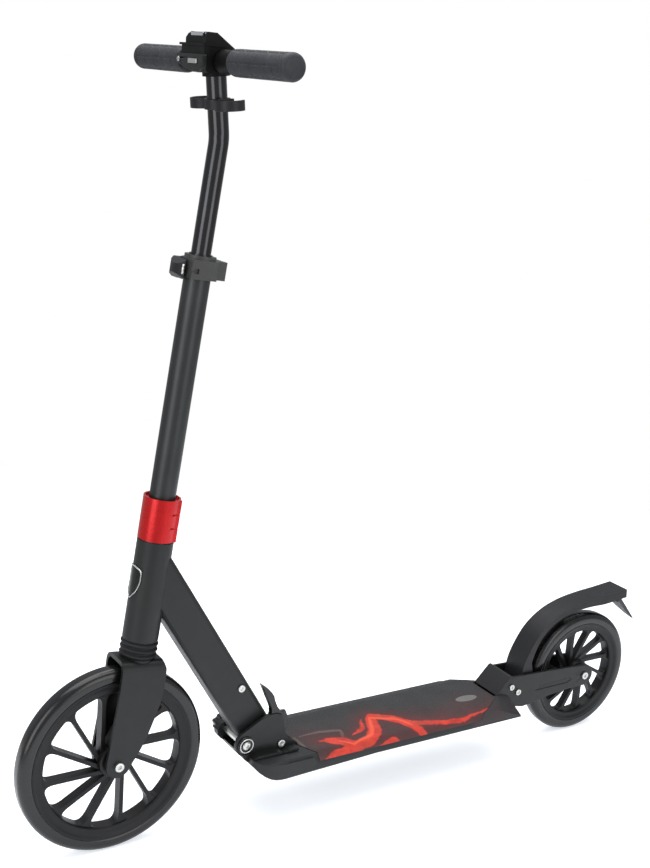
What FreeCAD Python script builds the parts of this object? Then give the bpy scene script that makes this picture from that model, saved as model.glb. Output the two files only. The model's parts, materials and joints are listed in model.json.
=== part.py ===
"""Two-wheel kick scooter: folding frame, telescopic handlebar post, sprung fork, fender brake.

Millimetres. +X is the direction of travel, +Y is left, +Z is up.
The origin lies on the ground, under the middle of the overall length.
"""
import FreeCAD, Part
import math
import os

V = FreeCAD.Vector

# ---------------------------------------------------------------- driving dimensions
ground_shift = 362.0          # front axle to origin, along X
wheelbase = 732.0
front_r = 115.0               # 230 mm front wheel
rear_r = 90.0                 # 180 mm rear wheel
tyre_half = 12.0
tyre_depth = 15.0
spoke_count = 12
spoke_offset = 13.0           # each spoke line passes this far from the hub centre
bearing_ro, bearing_w = 11.0, 7.0
axle_r = 4.0                  # M8 axles
run_gap = 0.05                # radial running clearance

rake_deg = 6.84               # steering axis leans back
steer_foot_x = -0.2           # steering axis at ground level, from the front axle

deck_front, deck_rear = -171.0, -588.0
deck_top, deck_bottom = 91.0, 69.0
deck_half = 54.5
sheet_t = 0.8

fold_x, fold_z = -216.3, 99.1     # fold hinge
lock_x, lock_z = -165.6, 107.5    # lock bolt
cheek_in, cheek_out = 18.7, 28.0
tube_half_w = 17.8            # down tube half width
tube_depth = 45.5
tube_dir = math.radians(57.7)

head_r, head_ri = 21.0, 17.6
head_u0, head_u1 = 263.0, 382.0
outer_r, outer_ri = 15.0, 13.0    # outer column tube
inner_r, inner_ri = 11.0, 9.4     # telescopic T tube
clamp_u0, clamp_u1 = 678.0, 703.0
tbar_u0, bend_u, bend_r = 560.0, 831.0, 60.0
bend_deg = 13.6

bar_x, bar_z = -85.8, 904.6       # handlebar axis
grip_r = 14.1
grip_in, bar_end = 54.0, 168.0

os.makedirs("parts", exist_ok=True)


# ---------------------------------------------------------------- helpers
def fx(x):
    """Distance measured from the front axle, to the row's X."""
    return x + ground_shift


def box(x0, x1, y0, y1, z0, z1):
    return Part.makeBox(x1 - x0, y1 - y0, z1 - z0, V(x0, y0, z0))


def cyl(p, d, r, h):
    return Part.makeCylinder(r, h, V(*p), V(*d))


def ycyl(x, z, r, y0, y1):
    return Part.makeCylinder(r, y1 - y0, V(x, y0, z), V(0, 1, 0))


def yring(x, z, ro, ri, y0, y1):
    return ycyl(x, z, ro, y0, y1).cut(ycyl(x, z, ri, y0 - 1, y1 + 1))


def prism_y(pts, y0, y1):
    """Polygon given as (x, z), extruded along Y."""
    w = Part.makePolygon([V(x, y0, z) for x, z in pts] + [V(pts[0][0], y0, pts[0][1])])
    return Part.Face(w).extrude(V(0, y1 - y0, 0))


def prism_x(pts, x0, x1):
    """Polygon given as (y, z), extruded along X."""
    w = Part.makePolygon([V(x0, y, z) for y, z in pts] + [V(x0, pts[0][0], pts[0][1])])
    return Part.Face(w).extrude(V(x1 - x0, 0, 0))


def prism_z(pts, z0, z1):
    w = Part.makePolygon([V(x, y, z0) for x, y in pts] + [V(pts[0][0], pts[0][1], z0)])
    return Part.Face(w).extrude(V(0, 0, z1 - z0))


def ring_z(ro, ri, u0, u1, w=0.0):
    return Part.makeCylinder(ro, u1 - u0, V(w, 0, u0)).cut(
        Part.makeCylinder(ri, u1 - u0 + 2, V(w, 0, u0 - 1)))


def steer(s):
    """From the steering frame (w forward, y, u along the axis) to the row frame."""
    s = s.copy()
    s.Placement = FreeCAD.Placement(
        V(fx(steer_foot_x), 0, 0), FreeCAD.Rotation(V(0, 1, 0), -rake_deg)).multiply(s.Placement)
    return s


def plane_cut(shape, p, n, size=700.0):
    """Remove what lies on the +n side of the plane through p."""
    b = Part.makeBox(size, size, size, V(-size / 2, -size / 2, 0))
    b.Placement = FreeCAD.Placement(V(*p), FreeCAD.Rotation(V(0, 0, 1), V(*n)))
    return shape.cut(b)


def plane_normal(a, b, c, up=True):
    n = (V(*b) - V(*a)).cross(V(*c) - V(*a))
    n.normalize()
    if (n.z < 0) == up:
        n = n * -1
    return n


def fuse(*shapes):
    s = shapes[0].multiFuse(list(shapes[1:])) if len(shapes) > 1 else shapes[0]
    return s.removeSplitter()


def solids(*shapes):
    return Part.makeCompound(list(shapes))


def save(name, shape):
    shape.exportStep("parts/%s.step" % name)
    n = len(shape.Solids)
    print("%-22s solids %d  volume %9.0f  valid %s" % (name, n, shape.Volume, shape.isValid()))


def edges_near(shape, test):
    return [e for e in shape.Edges if test(e)]


def bolt_y(x, z, r, head_r, head_h, y_head, y_tail, socket=0.0):
    """Bolt along Y. The head sits outside y_head, the shank ends at y_tail."""
    s = 1 if y_head > y_tail else -1
    shank = ycyl(x, z, r, min(y_head, y_tail), max(y_head, y_tail))
    y1 = y_head + s * head_h
    head = ycyl(x, z, head_r, min(y_head, y1), max(y_head, y1))
    b = shank.fuse(head)
    if socket:
        pts = [(x + socket * math.cos(math.radians(60 * i)),
                z + socket * math.sin(math.radians(60 * i))) for i in range(6)]
        ya, yb = sorted((y1 - s * head_h * 0.6, y1 + s))
        b = b.cut(prism_y(pts, ya, yb))
    return b


def hex_nut(x, z, af, bore, y0, y1):
    r = af / math.sqrt(3.0)
    pts = [(x + r * math.cos(math.radians(60 * i + 30)),
            z + r * math.sin(math.radians(60 * i + 30))) for i in range(6)]
    return prism_y(pts, y0, y1).cut(ycyl(x, z, bore, y0 - 1, y1 + 1))


# ---------------------------------------------------------------- wheels
def wheel(prefix, cx, R, win_r, hub_r, spoke_half):
    cz = R
    rim_r = R - tyre_depth
    tyre = yring(cx, cz, R, rim_r, -tyre_half, tyre_half)
    outer = edges_near(tyre, lambda e: e.Curve.TypeId == "Part::GeomCircle" and e.Curve.Radius > R - 0.1
                       and e.Length > 100)
    tyre = tyre.makeFillet(8.5, outer)
    save(prefix + "_tyre", tyre)

    parts = [yring(cx, cz, rim_r, win_r, -11.0, 11.0), ycyl(cx, cz, hub_r, -12.6, 12.6)]
    for i in range(spoke_count):
        a = 2 * math.pi * i / spoke_count
        dx, dz = math.cos(a), math.sin(a)
        nx, nz = -dz, dx                       # left of the spoke direction
        ox, oz = spoke_offset * dz, -spoke_offset * dx
        s_end = math.sqrt((win_r + 1.5) ** 2 - spoke_offset ** 2)
        def pt(s, t):
            return (cx + ox + dx * s + nx * t, cz + oz + dz * s + nz * t)
        m = s_end - 0.16 * R
        pts = [pt(4, -2.5), pt(m, -2.5), pt(s_end - 3, -4.6), pt(s_end, -6.0),
               pt(s_end, 6.0), pt(s_end - 3, 4.6), pt(m, 2.5), pt(4, 2.5)]
        parts.append(prism_y(pts, -spoke_half, spoke_half))
    rim = fuse(*parts)
    rim = rim.cut(ycyl(cx, cz, 8.0, -20, 20))
    for y0, y1 in ((-12.7, -5.6), (5.6, 12.7)):
        rim = rim.cut(ycyl(cx, cz, bearing_ro, y0, y1))
    save(prefix + "_rim", rim)

    b = [yring(cx, cz, bearing_ro, axle_r + run_gap, -12.6, -5.6),
         yring(cx, cz, bearing_ro, axle_r + run_gap, 5.6, 12.6)]
    save(prefix + "_bearings", solids(*b))


wheel("front", fx(0), front_r, 85.5, 19.0, 6.8)
wheel("rear", fx(-wheelbase), rear_r, 63.0, 17.0, 5.2)

# ---------------------------------------------------------------- front fork
axl = (fx(0), front_r)
sa, ca = math.sin(math.radians(rake_deg)), math.cos(math.radians(rake_deg))
ax_w, ax_u = ca * 0.2 + sa * front_r, -sa * 0.2 + ca * front_r    # axle in the steering frame
crown_u = 241.0
leg_in, leg_out = 18.7, 23.2

side = [(27.0, crown_u), (26.0, 190.0), (ax_w + 15.0, ax_u + 4.0)]
for i in range(9):
    a = math.radians(10 - 22.5 * i)
    side.append((ax_w + 15.0 * math.cos(a), ax_u + 15.0 * math.sin(a)))
side += [(-10.5, 131.0), (-16.5, 146.0), (-22.5, 168.0), (-27.5, 189.0), (-29.5, 212.0),
         (-28.5, 232.0), (-25.5, crown_u)]
fork_side = prism_y([(w, u) for w, u in side], -30, 30)


def u_section(half, top, r):
    """Rounded-shoulder outline in (y, u), as a prism along w."""
    pts = [(-half, 60.0), (half, 60.0), (half, top - r)]
    for i in range(1, 7):
        a = math.radians(15 * i)
        pts.append((half - r + r * math.cos(a), top - r + r * math.sin(a)))
    for i in range(0, 6):
        a = math.radians(90 + 15 * i)
        pts.append((-half + r + r * math.cos(a), top - r + r * math.sin(a)))
    pts.append((-half, top - r))
    return prism_x(pts, -80, 80)


fork = fork_side.common(u_section(leg_out, crown_u, 11.5)).cut(u_section(leg_in, crown_u - 5.0, 7.5))
# centre socket that holds the stanchion
fork = fork.fuse(Part.makeCylinder(19.0, 4.0, V(0, 0, crown_u - 4.0)))
fork = fork.cut(Part.makeCylinder(14.0, 30.0, V(0, 0, crown_u - 12.0)))
fork = fork.cut(ycyl(ax_w, ax_u, axle_r + 0.02, -40, 40))
save("fork", steer(fork.removeSplitter()))

stan = ring_z(14.0, 11.6, crown_u - 5.0, 338.0)
stan = stan.fuse(Part.makeCylinder(13.9, 4.0, V(0, 0, 334.0)))
save("fork_stanchion", steer(stan.removeSplitter()))

boot_pts = [(17.2, crown_u + 0.2)]
for c in (crown_u + 3.6, crown_u + 10.4, crown_u + 17.2):
    boot_pts += [(19.4, c - 2.9), (21.9, c - 1.0), (21.9, c + 1.0), (19.4, c + 2.9)]
boot_pts += [(19.4, head_u0 - 0.4), (17.2, head_u0 - 0.4)]
w = Part.makePolygon([V(r, 0, u) for r, u in boot_pts] + [V(boot_pts[0][0], 0, boot_pts[0][1])])
boot = Part.Face(w).revolve(V(0, 0, 0), V(0, 0, 1), 360)
save("fork_boot", steer(boot))

# front axle bolt with nut and two spacers
fa = bolt_y(axl[0], axl[1], axle_r, 5.6, 4.2, leg_out, -leg_out - 6.0, 2.6)
fn = hex_nut(axl[0], axl[1], 12.0, axle_r, -leg_out - 6.0, -leg_out)
save("front_axle", solids(fa, fn))
sp = [yring(axl[0], axl[1], 7.0, axle_r, 12.9, leg_in), yring(axl[0], axl[1], 7.0, axle_r, -leg_in, -12.9)]
save("front_spacers", solids(*sp))

# ---------------------------------------------------------------- steering column
sleeve = Part.makeCylinder(17.0, 376.0 - 266.0, V(0, 0, 266.0)).fuse(
    Part.makeCylinder(12.95, 430.0 - 370.0, V(0, 0, 370.0)))
sleeve = sleeve.fuse(Part.makeCylinder(15.0, 384.0 - 376.0, V(0, 0, 376.0)))
sleeve = sleeve.cut(Part.makeCylinder(14.1, 366.0 - 260.0, V(0, 0, 260.0)))
sleeve = sleeve.cut(Part.makeCylinder(9.5, 100.0, V(0, 0, 372.0)))
save("steerer_sleeve", steer(sleeve.removeSplitter()))

spring_r, spring_wire = 11.2, 1.5
turns = []
for i in range(6):
    t = Part.makeTorus(spring_r, spring_wire, V(0, 0, 340.3 + i * 4.7))
    turns.append(t)
for i in range(5):
    link = Part.makeCylinder(1.0, 4.7, V(spring_r * math.cos(i * 2.1), spring_r * math.sin(i * 2.1), 340.3 + i * 4.7))
    turns.append(link)
coil = turns[0].multiFuse(turns[1:])
save("fork_spring", steer(coil))

outer = ring_z(outer_r, outer_ri, 384.2, clamp_u1 - 0.5)
save("outer_tube", steer(outer))

# red clamp collar: round front, flat-sided ear with a slit at the back
col_u0, col_u1 = 383.2, 432.5
collar = Part.makeCylinder(21.4, col_u1 - col_u0, V(0, 0, col_u0))
collar = collar.fuse(box(-16.5, 0, -17.5, 17.5, col_u0, col_u1))
collar = collar.cut(Part.makeCylinder(outer_r, 80, V(0, 0, col_u0 - 5)))
collar = collar.cut(Part.makeCylinder(19.3, 4.0, V(0, 0, col_u1 - 3.0)))
collar = collar.cut(box(-30, -10, -1.2, 1.2, col_u0 - 1, col_u1 + 1))
for u in (400.0, 416.0):
    for s in (1, -1):
        collar = collar.cut(box(-17.0, -5.0, min(s * 16.9, s * 25), max(s * 16.9, s * 25), u - 1.2, u + 1.2))
    collar = collar.cut(ycyl(-18.4, u, 1.5, -12, 12))
    collar = collar.cut(ycyl(-18.4, u, 2.8, -22, -7.0))
save("clamp_collar", steer(collar.removeSplitter()))
cb = []
for u in (400.0, 416.0):
    cb.append(steer(bolt_y(-18.4, u, 1.5, 2.7, 3.0, -7.0, 9.0, 1.3)))
save("collar_bolts", solids(*cb))

# quick-release clamp at the top of the outer tube
cl = box(-14.0, 17.5, -18.3, 18.3, clamp_u0 + 3.0, clamp_u1 - 1.0)
cl = cl.cut(prism_z([(10.0, -18.4), (17.6, -18.4), (17.6, -10.8)], clamp_u0 - 1, clamp_u1 + 1))
cl = cl.fuse(Part.makeCylinder(17.6, clamp_u1 - clamp_u0, V(0, 0, clamp_u0 + 3.0)))
cl = cl.fuse(box(-27.5, -8.0, -12.5, 12.5, clamp_u0 + 4.0, clamp_u1 - 0.5))
cl = cl.cut(Part.makeCylinder(outer_r, clamp_u1 - clamp_u0, V(0, 0, clamp_u0 - 0.5)))
cl = cl.cut(Part.makeCylinder(outer_ri, 60, V(0, 0, clamp_u0 - 5)))
cl = cl.cut(Part.makeCylinder(outer_r, clamp_u1 - 0.5 - clamp_u0 + 10, V(0, 0, clamp_u0 - 10)))
cl = cl.cut(box(-32, -10, -1.3, 1.3, clamp_u0 - 5, clamp_u1 + 5))
cl = cl.cut(box(8.5, 13.5, 15.6, 20, 687.0, 692.5))         # square window in the left face
cl = cl.cut(box(13.4, 18.5, 16.9, 20, 688.2, 691.3))        # slot leading into it
cl = cl.cut(ycyl(-21.5, 688.0, 3.0, -20, 11.0))
save("height_clamp", steer(cl.removeSplitter()))
save("guide_bushing", steer(ring_z(outer_ri, inner_r + run_gap, clamp_u0 - 18.0, clamp_u1 + 4.5)))
# clamp bolt: barrel at the lever side, nut at the left
qb = ycyl(-21.5, 688.0, 3.0, -24.5, 10.9)
qb = qb.cut(Part.makeCylinder(2.0, 40.0, V(-21.5, -21.5, 670.0)))
save("clamp_bolt", steer(qb))
# cam lever: swings about a pin that is parallel to the column, on the right side
lev = Part.makeCylinder(6.5, 20.0, V(-21.5, -21.5, 677.5))
blade_pts = [(-25.0, -27.6), (-19.0, -28.0), (-4.0, -27.4), (9.0, -26.8), (18.0, -25.0), (24.5, -20.0), (28.0, -13.0),
             (29.0, -4.0), (27.8, 4.0), (25.0, 8.5), (21.4, 9.0), (19.8, 3.0), (20.0, -3.0), (18.8, -13.0), (14.5, -19.3), (7.0, -22.3),
             (-4.0, -23.0), (-13.0, -23.6)]
lev = lev.fuse(prism_z(blade_pts, 677.5, 700.0))
lev = lev.cut(prism_z([(5.0, -40), (40.0, -40), (40.0, 30), (5.0, 30)], 700.0, 720.0))
lev = plane_cut(lev, (29.5, 0, 684.5), (0.55, 0, -0.84))
lev = plane_cut(lev, (29.5, 0, 693.5), (0.6, 0, 0.8))
lev = lev.cut(Part.makeCylinder(2.0 + run_gap, 40.0, V(-21.5, -21.5, 670.0)))
lev = lev.cut(box(-32.0, -13.5, -40.0, -10.0, 684.6, 691.4))
save("clamp_lever", steer(lev.removeSplitter()))
save("clamp_lever_pin", steer(Part.makeCylinder(2.0, 24.0, V(-21.5, -21.5, 675.5))))

# ---------------------------------------------------------------- frame
head = ring_z(head_r, head_ri, head_u0, head_u1)
for a, b in ((head_u0 - 1, head_u0 + 8.0), (head_u1 - 8.0, head_u1 + 1)):
    head = head.cut(Part.makeCylinder(19.2, b - a, V(0, 0, a)))
save("head_tube", steer(head))
cups = [ring_z(19.2, 17.0 + run_gap, head_u0, head_u0 + 8.0), ring_z(19.2, 17.0 + run_gap, head_u1 - 8.0, head_u1)]
cups[0] = cups[0].fuse(ring_z(20.6, 17.0 + run_gap, head_u0 - 0.3, head_u0)).removeSplitter()
save("headset_bearings", solids(*[steer(c) for c in cups]))

# plain shield plate on the front of the head tube
shield = [(-13.0, 349.0), (0.0, 352.0), (13.0, 349.0), (13.2, 334.0), (10.0, 322.5), (0.0, 310.5),
          (-10.0, 322.5), (-13.2, 334.0)]
sh = ring_z(head_r + 0.9, head_r, 300, 360).common(prism_x([(y, u) for y, u in shield], 5, 40))
save("head_plate", steer(sh))

# down tube: flat-sided, rounded corners
dx, dz = math.cos(tube_dir), math.sin(tube_dir)


def tube_profile(half_w, depth, r, shift=0.0):
    """Rounded rectangle in the plane perpendicular to the tube, as (across, y)."""
    pts = []
    for cx_, cy_, a0 in ((depth / 2 - r, half_w - r, 0), (-depth / 2 + r, half_w - r, 90),
                         (-depth / 2 + r, -half_w + r, 180), (depth / 2 - r, -half_w + r, 270)):
        for i in range(5):
            a = math.radians(a0 + 22.5 * i)
            pts.append((cx_ + r * math.cos(a) + shift, cy_ + r * math.sin(a)))
    return pts


# a point on the rear (upper) line of the tube and the across direction towards the front
rear_pt = (fx(-204.7), 130.9)
ac = (dz, -dx)
mid = (rear_pt[0] + ac[0] * tube_depth / 2, rear_pt[1] + ac[1] * tube_depth / 2)


def tube_solid(half_w, depth, r, s0, s1, shift=0.0):
    pts = tube_profile(half_w, depth, r, shift)
    ring = [V(mid[0] + dx * s0 + ac[0] * p, y, mid[1] + dz * s0 + ac[1] * p) for p, y in pts]
    f = Part.Face(Part.makePolygon(ring + [ring[0]]))
    return f.extrude(V(dx * (s1 - s0), 0, dz * (s1 - s0)))


down = tube_solid(tube_half_w, tube_depth, 7.0, 2.0, 330.0).cut(
    tube_solid(tube_half_w - 2.2, tube_depth - 4.4, 5.0, 0.0, 331.0))
keep_back = steer(Part.makeBox(400, 200, 900, V(-400, -100, -50)))
down = down.common(keep_back).cut(steer(Part.makeCylinder(head_r, 900, V(0, 0, -50))))
down = max(down.Solids, key=lambda s: s.Volume)
brace_x, brace_z = fx(-160.4), 179.3
down = down.cut(ycyl(brace_x, brace_z, 3.1, -30, 30))
bb = bolt_y(brace_x, brace_z, 3.0, 4.6, 2.4, tube_half_w, -tube_half_w - 3.6, 2.3)
save("brace_bolt", solids(bb, hex_nut(brace_x, brace_z, 9.0, 3.0, -tube_half_w - 3.6, -tube_half_w)))

# knuckle at the foot of the tube, between the bracket cheeks
kn_half = 17.6
px, pz = fx(fold_x), fold_z
lx, lz = fx(lock_x), lock_z
kn_pts = [(px - 1.5, pz + 7.5), (fx(-206.0), 128.0), (fx(-204.6), 131.0)]
e0 = (rear_pt[0] + ac[0] * tube_depth, rear_pt[1] + ac[1] * tube_depth)
kn_pts += [(e0[0], e0[1]), (fx(-149.5), 131.0), (fx(-151.5), 118.0), (fx(-153.0), 103.0), (fx(-160.0), 98.2),
           (fx(-176.0), 97.2), (fx(-206.0), 96.6), (px + 2, pz - 7.2)]
knuckle = prism_y(kn_pts, -kn_half, kn_half).fuse(ycyl(px, pz, 7.6, -kn_half, kn_half))
plug = tube_solid(tube_half_w - 2.3, tube_depth - 4.6, 5.0, -4.0, 46.0)
knuckle = knuckle.fuse(plug)
knuckle = knuckle.cut(ycyl(px, pz, 4.0 + run_gap, -30, 30))
# open notch that drops over the lock bolt
nw = 5.0 + 0.35
rad = math.hypot(lx - px, lz - pz)
nd = ((lz - pz) / rad, -(lx - px) / rad)          # downwards, square to the radius
rd = ((lx - px) / rad, (lz - pz) / rad)
notch = prism_y([(lx - rd[0] * nw, lz - rd[1] * nw), (lx + rd[0] * nw, lz + rd[1] * nw),
                 (lx + rd[0] * nw * 1.5 + nd[0] * 30, lz + rd[1] * nw * 1.5 + nd[1] * 30),
                 (lx - rd[0] * nw * 1.3 + nd[0] * 30, lz - rd[1] * nw * 1.3 + nd[1] * 30)], -40, 40)
knuckle = knuckle.cut(ycyl(lx, lz, nw, -40, 40)).cut(notch)
knuckle = knuckle.cut(ycyl(brace_x, brace_z, 3.1, -30, 30))
knuckle = max(knuckle.removeSplitter().Solids, key=lambda s: s.Volume)
save("fold_knuckle", knuckle)
down = down.cut(ycyl(lx, lz, nw + 0.3, -40, 40)).cut(notch)
save("down_tube", max(down.Solids, key=lambda s: s.Volume))

# ---------------------------------------------------------------- folding bracket on the deck
cheek = [(fx(-241), 91.0), (fx(-240), 95.0), (fx(-229.5), 101.5), (fx(-221), 113.5), (fx(-218), 130.0),
         (fx(-214), 138.0), (fx(-207), 141.0), (fx(-197), 140.5), (fx(-183), 135.0), (fx(-170), 128.0),
         (fx(-160.5), 123.0), (fx(-154.0), 116.5), (fx(-151.8), 108.0), (fx(-153.0), 101.0), (fx(-157.5), 95.5),
         (fx(-166), 91.0)]
cheek_far = [(fx(-241), 91.0), (fx(-240), 95.0), (fx(-229.5), 101.5), (fx(-222), 110.0), (fx(-212), 116.0), (fx(-197), 120.0),
             (fx(-180), 121.5), (fx(-165), 119.5), (fx(-156.0), 115.0), (fx(-151.8), 108.0), (fx(-153.0), 101.0),
             (fx(-157.5), 95.5), (fx(-166), 91.0)]
far = prism_y(cheek_far, -cheek_out, -cheek_in)
near = prism_y(cheek, 23.5, cheek_out)
foot_pts = [(fx(-236), 91.0), (fx(-236), 94.0), (fx(-178), 95.0), (fx(-171), 91.0)]
feet = [prism_y(foot_pts, 23.5, 40.0), prism_y(foot_pts, -40.0, -22.0)]
floor = prism_y([(fx(-203), 91.0), (fx(-203), 94.6), (fx(-162), 94.6), (fx(-164), 91.0)], -29.0, 29.0)
# nose tongue that wraps over the front of the deck
tongue = prism_y([(fx(-175), 91.0), (fx(-175), 94.6), (fx(-161), 94.6), (fx(-165.0), 88.0), (fx(-168.0), 84.5),
                  (fx(-170.9), 83.0), (fx(-170.9), 91.0)], -28.0, 28.0)
bracket = fuse(far, near, feet[0], feet[1], floor, tongue)
bracket = bracket.cut(ycyl(px, pz, 4.0, -60, 60)).cut(ycyl(lx, lz, 5.0, -60, 60))
br_scr = [(fx(-227.0), 33.5), (fx(-199.0), 33.5), (fx(-227.0), -33.5), (fx(-199.0), -33.5)]
for sx, sy in br_scr:                       # tapped blind holes, screwed from below
    bracket = bracket.cut(cyl((sx, sy, 80.0), (0, 0, 1), 2.5, 13.0))
for a, b in ((cheek_out, 60.0), (-60.0, -cheek_out)):
    bracket = bracket.cut(ycyl(px, pz, 7.6, a, b))
save("fold_bracket", bracket.removeSplitter())
pb = bolt_y(px, pz, 4.0, 5.0, 2.6, cheek_out, -cheek_out - 5.0, 2.6)
save("fold_pivot_bolt", solids(pb, hex_nut(px, pz, 11.0, 4.0, -cheek_out - 5.0, -cheek_out)))
lb = bolt_y(lx, lz, 5.0, 7.5, 3.0, cheek_out + 1.6, -43.0, 3.2)
lw = yring(lx, lz, 11.0, 5.0, cheek_out, cheek_out + 1.6)
save("lock_bolt", solids(lb, lw))
# star knob on the far end of the lock bolt
knob = ycyl(lx, lz, 8.6, -40.0, -30.0).fuse(ycyl(lx, lz, 7.2, -30.0, -28.3))
for i in range(6):
    a = math.radians(60 * i + 20)
    knob = knob.fuse(ycyl(lx + 7.8 * math.cos(a), lz + 7.8 * math.sin(a), 2.9, -40.0, -31.0))
knob = knob.cut(ycyl(lx, lz, 5.0 + run_gap, -60, -20))
save("lock_knob", knob.removeSplitter())

# release lever: plate inside the left cheek, thumb horn above it
lv0, lv1 = 19.0, 23.1
plate = [(px - 7.0, pz - 3.0), (px - 7.5, pz + 4.0), (fx(-227.5), 118.0), (fx(-226.0), 133.0), (fx(-223.0), 140.0),
         (fx(-206), 141.5), (fx(-190), 134.0), (fx(-174), 124.5), (fx(-166.0), 121.0), (fx(-158.5), 117.5),
         (fx(-157.0), 109.0), (fx(-159.8), 108.5), (fx(-160.2), 113.0), (fx(-166.0), 114.0), (fx(-172.5), 110.5), (fx(-176.0), 102.0),
         (px + 7.0, pz - 4.0), (px, pz - 7.4)]
lever = prism_y(plate, lv0, lv1).cut(ycyl(lx, lz, 5.6, 10, 30))
horn = [(fx(-199.0), 136.0), (fx(-200.5), 141.1), (fx(-199.9), 148.4), (fx(-197.1), 155.2), (fx(-192.7), 164.2),
        (fx(-189.3), 172.0), (fx(-186.3), 178.5), (fx(-183.4), 183.6), (fx(-188.5), 180.6), (fx(-192.9), 176.8),
        (fx(-198.8), 170.3), (fx(-202.6), 164.8), (fx(-204.5), 158.2), (fx(-207.9), 150.3), (fx(-212.2), 144.1),
        (fx(-219.0), 139.0), (fx(-222.0), 134.0)]
top_clear = [(px + (x - px) * 1.02, pz + (z - pz) * 1.02) for x, z in cheek]
lever = lever.fuse(prism_y(horn, lv0, 27.5).cut(prism_y(top_clear, lv1, 30.0)))
lever = lever.cut(ycyl(px, pz, 4.0 + run_gap, 10, 40))
save("release_lever", lever.removeSplitter())

# ---------------------------------------------------------------- deck
x0, x1 = fx(deck_rear), fx(deck_front)
prof = [(0.0, 91.0), (34.0, 91.0), (50.5, 87.5), (54.5, 74.0), (54.5, 69.0)]
full = [(-y, z) for y, z in reversed(prof[1:])] + prof[1:]
body = prism_x(full, x0, x1)
# squarer nose: full height out to the edge in front of a slanted line
nose_full = [(-54.5, 69.0), (-54.5, 86.0), (-34.0, 91.0), (34.0, 91.0), (54.5, 86.0), (54.5, 69.0)]
nose = prism_x(nose_full, x0, x1)
keep = prism_z([(fx(-240.0), 33.0), (fx(-262.0), 60.0), (fx(-150.0), 60.0), (fx(-150.0), -60.0), (fx(-262.0), -60.0),
                (fx(-240.0), -33.0)], 60, 100)
nose = nose.common(keep)
for s in (1, -1):
    n = plane_normal((fx(-240), s * 33.0, 91.2), (fx(-262), s * 54.5, 74.2), (fx(-196), s * 54.5, 86.0))
    nose = plane_cut(nose, (fx(-240), s * 33.0, 91.2), (n.x, n.y, n.z))
nose_low = [(fx(a_), b_) for a_, b_ in ((-211.0, 64.3), (-204.0, 64.5), (-197.0, 65.6), (-190.0, 67.8), (-183.0, 71.3), (-176.0, 76.6), (-171.0, 82.5))]
belly = prism_y([(fx(-345.0), 69.0), (fx(-240.0), 65.4)] + nose_low + [(fx(-171.0), 84.0), (fx(-250.0), 84.0), (fx(-258.0), 73.0), (fx(-345.0), 73.0)],
                -54.5, 54.5)
body = body.fuse(nose).fuse(belly)
# plan outline with a rounded nose
rc = 20.0
plan = [(x0, -54.5), (x1 - rc - 6, -54.5)]
for i in range(1, 8):
    a = math.radians(-90 + 90 * i / 8.0)
    plan.append((x1 - rc - 6 + (rc + 6) * math.cos(a), -54.5 + rc + rc * math.sin(a)))
plan += [(x1, -54.5 + rc), (x1, 54.5 - rc)]
for i in range(1, 8):
    a = math.radians(90 * i / 8.0)
    plan.append((x1 - rc - 6 + (rc + 6) * math.cos(a), 54.5 - rc + rc * math.sin(a)))
plan += [(x1 - rc - 6, 54.5), (x0, 54.5)]
body = body.common(prism_z(plan, 60, 100))
for s in (1, -1):
    n = plane_normal((fx(-541), s * 45.0, 91.0), (fx(-573), s * 25.0, 91.0), (fx(-588), s * 54.5, 71.0))
    body = plane_cut(body, (fx(-541), s * 45.0, 91.0), (n.x, n.y, n.z))
# rounded underside of the nose
body = body.cut(prism_y([(fx(-211.0), 50.0)] + nose_low + [(fx(-150.0), 82.5), (fx(-150.0), 50.0)], -60.0, 60.0))
# open channels below, solid ends
for y0, y1 in ((-50.5, -19.0), (-16.0, 16.0), (19.0, 50.5)):
    body = body.cut(box(fx(-548.0), fx(-194.0), y0, y1, 60.0, 84.5))
# notch for the rear fork casting
body = body.cut(box(fx(-600.0), fx(-562.0), -23.3, 23.3, 60, 100))
# screw holes under the bracket and the rear casting
for sx, sy in br_scr:
    body = body.cut(cyl((sx, sy, 60), (0, 0, 1), 2.5, 40))
body = max(body.removeSplitter().Solids, key=lambda s: s.Volume)
save("deck", body)
scr = []
for sx, sy in br_scr:
    s_ = cyl((sx, sy, 84.5), (0, 0, 1), 2.5, 93.0 - 84.5)
    s_ = s_.fuse(cyl((sx, sy, 81.9), (0, 0, 1), 4.2, 2.6))
    scr.append(s_)
save("bracket_screws", solids(*scr))

# printed grip sheet over the top and the slanted sides
t = sheet_t


def offset_line(p, q, d):
    ux, uy = q[0] - p[0], q[1] - p[1]
    L = math.hypot(ux, uy)
    n_ = (-uy / L * d, ux / L * d)
    return (p[0] + n_[0], p[1] + n_[1]), (q[0] + n_[0], q[1] + n_[1])


def meet(a, b, c, d):
    x1_, y1_, x2_, y2_ = a[0], a[1], b[0], b[1]
    x3_, y3_, x4_, y4_ = c[0], c[1], d[0], d[1]
    den = (x1_ - x2_) * (y3_ - y4_) - (y1_ - y2_) * (x3_ - x4_)
    k = x1_ * y2_ - y1_ * x2_
    m_ = x3_ * y4_ - y3_ * x4_
    return ((k * (x3_ - x4_) - (x1_ - x2_) * m_) / den, (k * (y3_ - y4_) - (y1_ - y2_) * m_) / den)


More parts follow.
